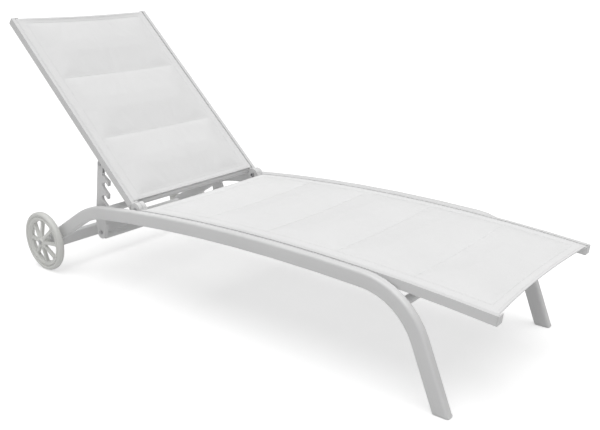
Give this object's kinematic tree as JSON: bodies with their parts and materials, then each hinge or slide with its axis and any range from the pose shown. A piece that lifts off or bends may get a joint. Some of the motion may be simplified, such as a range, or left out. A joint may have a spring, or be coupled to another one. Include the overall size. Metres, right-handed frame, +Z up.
{
  "type": "reclining sun lounger",
  "caption": "Reclining sun lounger: arched aluminium frame with front legs and rear wheels, padded sling seat and a hinged sling backrest held by a notched prop.",
  "frame": {"origin": "middle of the footprint on the ground, halfway between the sides", "axes": "+X towards the foot end, +Y to the left side, +Z up; the long way of the lounger runs along X"},
  "size_m": [1.7806, 0.7058, 0.8427],
  "materials": {
    "powder_coat": "satin white powder coat on aluminium",
    "white_plastic": "fine matt moulded plastic",
    "wheel_plastic": "satin moulded plastic",
    "black_plastic": "matt dark plastic",
    "zinc_steel": "zinc plated steel",
    "fabric": "white woven polyester mesh, quilted over a thin pad"
  },
  "bodies": {
    "frame": {"side_tube_right": "powder_coat", "foot_cap_right": "white_plastic", "tail_plug_right": "white_plastic", "seat_rail_right": "powder_coat", "rail_screw_right_1": "zinc_steel", "rail_screw_right_2": "zinc_steel", "rail_screw_right_3": "zinc_steel", "seat_rail_cap_right": "white_plastic", "seat_hinge_fitting_right": "powder_coat", "hinge_bolt_right": "zinc_steel", "hinge_nut_right": "zinc_steel", "axle_bolt_right": "zinc_steel", "axle_spacer_right": "white_plastic", "beam_plug_right": "black_plastic", "seat_keder_right": "white_plastic", "side_tube_left": "powder_coat", "foot_cap_left": "white_plastic", "tail_plug_left": "white_plastic", "seat_rail_left": "powder_coat", "rail_screw_left_1": "zinc_steel", "rail_screw_left_2": "zinc_steel", "rail_screw_left_3": "zinc_steel", "seat_rail_cap_left": "white_plastic", "seat_hinge_fitting_left": "powder_coat", "hinge_bolt_left": "zinc_steel", "hinge_nut_left": "zinc_steel", "axle_bolt_left": "zinc_steel", "axle_spacer_left": "white_plastic", "beam_plug_left": "black_plastic", "seat_keder_left": "white_plastic", "front_cross_tube": "powder_coat", "latch_bar": "powder_coat", "axle_beam": "powder_coat", "seat_sling": "fabric"},
    "backrest": {"back_hinge_fitting_right": "powder_coat", "back_rail_right": "powder_coat", "back_rail_cap_right": "white_plastic", "prop_tab_right": "powder_coat", "back_keder_right": "white_plastic", "back_hinge_fitting_left": "powder_coat", "back_rail_left": "powder_coat", "back_rail_cap_left": "white_plastic", "prop_tab_left": "powder_coat", "back_keder_left": "white_plastic", "back_lower_tube": "powder_coat", "back_upper_tube": "powder_coat", "back_sling": "fabric"},
    "prop": {"prop_rack_right": "powder_coat", "prop_pivot_bolt_right": "zinc_steel", "prop_tube_bolt_right": "zinc_steel", "prop_rack_left": "powder_coat", "prop_pivot_bolt_left": "zinc_steel", "prop_tube_bolt_left": "zinc_steel", "prop_tube": "powder_coat"},
    "wheel_right": {"wheel_right": "wheel_plastic"},
    "wheel_left": {"wheel_left": "wheel_plastic"}
  },
  "joints": [
    {"name": "backrest_hinge", "type": "hinge", "parent": "frame", "child": "backrest", "pos_m": [-0.3037, 0, 0.2855], "axis": [0, 1, 0], "range_deg": [-40.5, 15]},
    {"name": "prop_swing", "type": "hinge", "parent": "backrest", "child": "prop", "pos_m": [-0.4754, 0, 0.4057], "axis": [0, 1, 0], "range_deg": [-6, 14.5]},
    {"name": "wheel_right_spin", "type": "hinge", "parent": "frame", "child": "wheel_right", "pos_m": [-0.7497, -0.335, 0.103], "axis": [0, 1, 0], "continuous": true},
    {"name": "wheel_left_spin", "type": "hinge", "parent": "frame", "child": "wheel_left", "pos_m": [-0.7497, 0.335, 0.103], "axis": [0, 1, 0], "continuous": true}
  ],
  "couplings": [
    {"joint": "prop_swing", "follows": "backrest_hinge", "ratio": -0.34}
  ]
}
